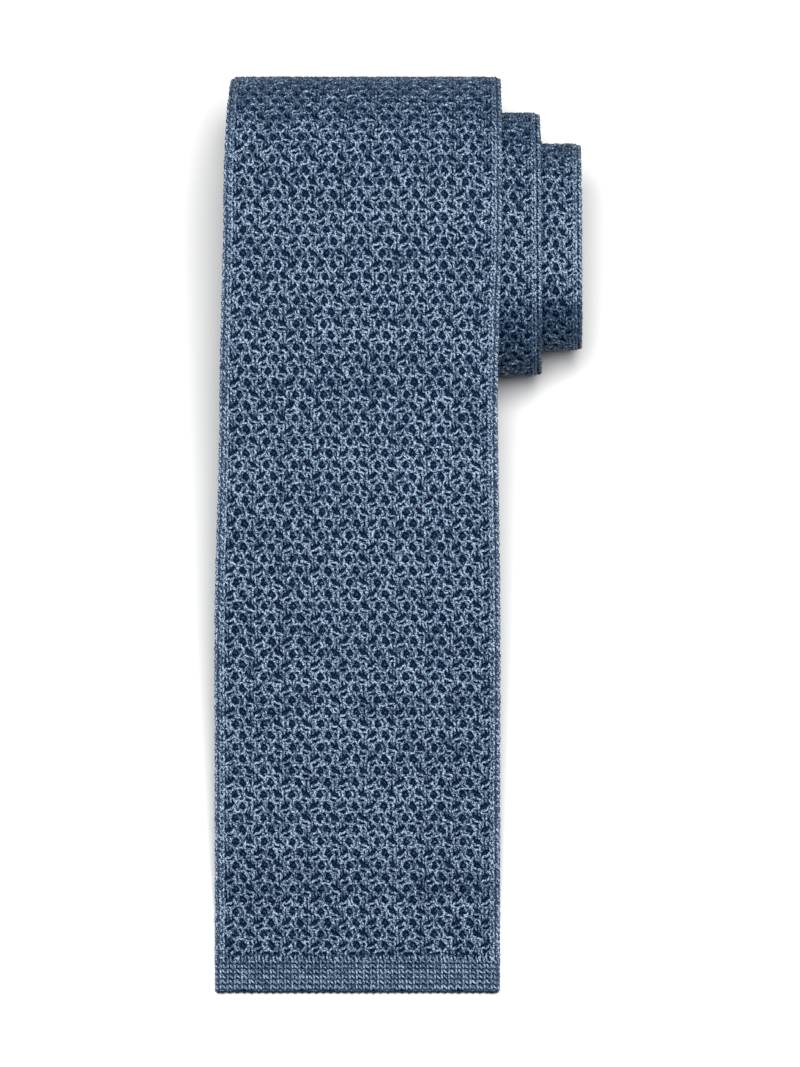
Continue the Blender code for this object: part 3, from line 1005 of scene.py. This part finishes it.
def blade_cover(run, wale):
    """Yarn covers the blade's outer face and both folds, until it turns under the roll."""
    off = np.abs(wale)
    around = 1 - (1 - FOLD_COVER) * from_wale(off, NEAR_FOLD) - FOLD_COVER * from_wale(off, PAST_FOLD)
    begun = smooth((run - COVER_START) / COVER_START_FADE)
    return around * begun * (1 - smooth((run - YARN_END) / COVER_END_FADE))


def turn_cover(run, wale):
    """Yarn covers a turn's right side and its left fold."""
    right = from_wale(wale, SIDE_WALES[0]) * (1 - from_wale(wale, PAST_FOLD))
    left = from_wale(wale, LEFT_COVER[0]) * (1 - from_wale(wale, LEFT_COVER[1]))
    return np.maximum(right, left)


def edge_cover(run, wale):
    """Yarn covers both folds of an inner turn."""
    return 1 - from_wale(np.abs(np.abs(wale) - FOLD_WALE), INNER_COVER)


def bare(run, wale):
    """No yarn covers this cloth."""
    return np.zeros_like(run)


class TIE_OT_lay_cloth(bpy.types.Operator):
    """Lay the cloth of every piece, with painted shade where yarn covers it"""

    bl_idname = "tie.lay_cloth"
    bl_label = "Lay Cloth"

    def execute(self, context):
        course = context.scene.knit_sizes.course
        gap = PIECE_GAP / 2
        mesh = mesh_cloth()
        plain = plain_cloth()
        band_course = BAND_LENGTH / BAND_COURSES
        narrow_start = TOTAL_RUN - BAND_LENGTH
        lay_cloth("wide_band_cloth", "wide_end_band", gap, BAND_LENGTH - gap, WALES,
                  band_course, plain, blade_cover)
        lay_cloth("wide_blade_cloth", "wide_blade", BAND_LENGTH + gap, run_at(BACK_END) - gap, WALES,
                  course, mesh, blade_cover)
        for turn, cover in ((2, turn_cover), (3, turn_cover), (4, edge_cover)):
            lay_cloth(f"wide_turn_{turn}_cloth", f"wide_turn_{turn}",
                      run_at(turn - 2 + BACK_END) + gap, run_at(turn - 1 + BACK_END) - gap, WALES,
                      course, mesh, cover)
        lay_cloth("neck_cloth", "neck_fold", run_at(3 + BACK_END) + gap,
                  run_at(3 + BACK_END, True) - gap, NECK_WALES, course, mesh, bare)
        for turn in (4, 3, 2):
            lay_cloth(f"narrow_turn_{turn}_cloth", f"narrow_turn_{turn}",
                      run_at(turn - 1 + BACK_END, True) + gap,
                      run_at(turn - 2 + BACK_END, True) - gap, NARROW_WALES,
                      course, mesh, bare)
        lay_cloth("narrow_band_cloth", "narrow_end_band", narrow_start + gap, TOTAL_RUN - gap,
                  NARROW_WALES, band_course, plain, bare)
        lay_cloth("narrow_blade_cloth", "narrow_blade", run_at(BACK_END, True) + gap,
                  narrow_start - gap, NARROW_WALES, course, mesh, bare)
        return {"FINISHED"}


class TIE_OT_knit_blade(bpy.types.Operator):
    """Knit the mesh of the front blade, over the crest and down the back of the roll"""

    bl_idname = "tie.knit_blade"
    bl_label = "Knit Blade"

    def execute(self, context):
        sizes = context.scene.knit_sizes
        rng = np.random.default_rng(SEED)
        rows = int((YARN_END - MESH_START) / sizes.course)
        pieces = math.ceil(rows * faces_in(*BLADE_WALES, MESH_GAUGE) / MOST_YARN_FACES)
        for index, part in enumerate(np.array_split(np.arange(rows), pieces)):
            piece = knit_patch(f"blade_yarn_{index + 1}", part, *BLADE_WALES, MESH_START,
                               sizes.course, MESH_GAUGE, rng)
            finish_yarn(piece, ["wide_blade"])
        return {"FINISHED"}


class TIE_OT_knit_turns(bpy.types.Operator):
    """Knit the sides of the inner turns, where they stick out of the roll"""

    bl_idname = "tie.knit_turns"
    bl_label = "Knit Turns"

    def execute(self, context):
        sizes = context.scene.knit_sizes
        rng = np.random.default_rng(SEED + 1)
        for turn in (2, 3, 4):
            start = run_at(turn - 2 + BACK_END)
            length = run_at(turn - 1 + BACK_END) - start
            rows = np.arange(round(length / sizes.course))
            course = length / len(rows)
            sides = (SIDE_WALES, LEFT_WALES) if turn < len(TURNS) else INNER_WALES
            for side, wales in zip(("right", "left"), sides):
                piece = knit_patch(f"turn_{turn}_yarn_{side}", rows, *wales, start,
                                   course, MESH_GAUGE, rng)
                finish_yarn(piece, [f"wide_turn_{turn}"])
        return {"FINISHED"}


class TIE_OT_knit_band(bpy.types.Operator):
    """Knit the plain band at the wide end, and bind it off"""

    bl_idname = "tie.knit_band"
    bl_label = "Knit Band"

    def execute(self, context):
        rng = np.random.default_rng(SEED + 2)
        course = (BAND_LENGTH - BAND_START) / BAND_COURSES
        rows = np.arange(1, BAND_COURSES + 1)
        piece = knit_patch("band_yarn", rows, *BLADE_WALES, BAND_START, course, BAND_GAUGE, rng)
        finish_yarn(piece, ["wide_end_band"])
        return {"FINISHED"}


def area_light(name, place, size, power):
    """A square soft light that looks at the tie."""
    light = bpy.data.lights.new(name, "AREA")
    light.size = size
    light.energy = power
    holder = bpy.data.objects.new(name, light)
    holder.location = place
    holder.rotation_euler = (Vector(LIT_POINT) - Vector(place)).to_track_quat("-Z", "Y").to_euler()
    bpy.context.collection.objects.link(holder)


class TIE_OT_set_stage(bpy.types.Operator):
    """Set the pale floor, the studio lights and the camera"""

    bl_idname = "tie.set_stage"
    bl_label = "Set Stage"

    def execute(self, context):
        scene = context.scene
        studio = scene.studio
        finish = Finish("pale_floor")
        finish.shader.inputs["Base Color"].default_value = tuple(studio.floor)
        finish.shader.inputs["Roughness"].default_value = FLOOR_GLOSS
        mesh = bpy.data.meshes.new("floor")
        signs = ((-1, -1), (1, -1), (1, 1), (-1, 1))
        corners = [(across * FLOOR_REACH, along * FLOOR_REACH, 0.0) for across, along in signs]
        mesh.from_pydata(corners, [], [(0, 1, 2, 3)])
        mesh.materials.append(finish.material)
        floor = bpy.data.objects.new("floor", mesh)
        context.collection.objects.link(floor)
        area_light("key_light", KEY_PLACE, KEY_SIZE, studio.key)
        area_light("fill_light", FILL_PLACE, FILL_SIZE, studio.fill)
        world = bpy.data.worlds.new("surroundings")
        world.use_nodes = True
        background = world.node_tree.nodes["Background"]
        background.inputs["Color"].default_value = (1.0, 1.0, 1.0, 1.0)
        background.inputs["Strength"].default_value = studio.sky
        scene.world = world
        scene.view_settings.view_transform = "Standard"
        camera = bpy.data.cameras.new("camera")
        camera.sensor_fit = "VERTICAL"
        camera.sensor_height = 36.0
        camera.lens = camera.sensor_height * studio.distance / studio.frame_height
        holder = bpy.data.objects.new("camera", camera)
        holder.location = picture_middle() + studio.distance * Vector((0.0, *OUT))
        holder.rotation_euler = (SLOPE, 0.0, 0.0)
        context.collection.objects.link(holder)
        scene.camera = holder
        return {"FINISHED"}


def picture_middle():
    """Point of the slope's outer face that shows at the middle of the photograph."""
    across = (PHOTO_WIDTH / 2 - BLADE_MIDDLE_X) * PIXEL
    up = CREST_RADIUS - (PHOTO_HEIGHT / 2 - CREST_TOP_Y) * PIXEL
    point = CREST_CENTRE + up * UP_SLOPE + CREST_RADIUS * OUT
    return Vector((across + SHIFT[0], point[0] + SHIFT[1], point[1]))


class TIE_PT_panel(bpy.types.Panel):
    """The tie's steps and sizes"""

    bl_label = "Knit Tie"
    bl_idname = "TIE_PT_panel"
    bl_space_type = "VIEW_3D"
    bl_region_type = "UI"
    bl_category = "Knit Tie"

    def draw(self, context):
        for group in (context.scene.knit_sizes, context.scene.silk_colours, context.scene.studio):
            box = self.layout.box()
            for name in group.__annotations__:
                box.prop(group, name)
        for operator in OPERATORS:
            self.layout.operator(operator.bl_idname)


OPERATORS = (TIE_OT_knit_blade, TIE_OT_knit_turns, TIE_OT_knit_band, TIE_OT_lay_cloth,
             TIE_OT_set_stage)
GROUPS = (KnitSizes, SilkColours, StudioSettings)
CLASSES = (*GROUPS, *OPERATORS, TIE_PT_panel)


def register():
    """Register the classes and keep their settings on the scene."""
    for item in CLASSES:
        bpy.utils.register_class(item)
    bpy.types.Scene.knit_sizes = PointerProperty(type=KnitSizes)
    bpy.types.Scene.silk_colours = PointerProperty(type=SilkColours)
    bpy.types.Scene.studio = PointerProperty(type=StudioSettings)


def unregister():
    """Take the settings and the classes away again."""
    del bpy.types.Scene.studio
    del bpy.types.Scene.silk_colours
    del bpy.types.Scene.knit_sizes
    for item in reversed(CLASSES):
        bpy.utils.unregister_class(item)


def main():
    """Make everything in order."""
    register()
    bpy.ops.tie.knit_blade()
    bpy.ops.tie.knit_turns()
    bpy.ops.tie.knit_band()
    bpy.ops.tie.lay_cloth()
    bpy.ops.tie.set_stage()


if __name__ == "__main__":
    main()
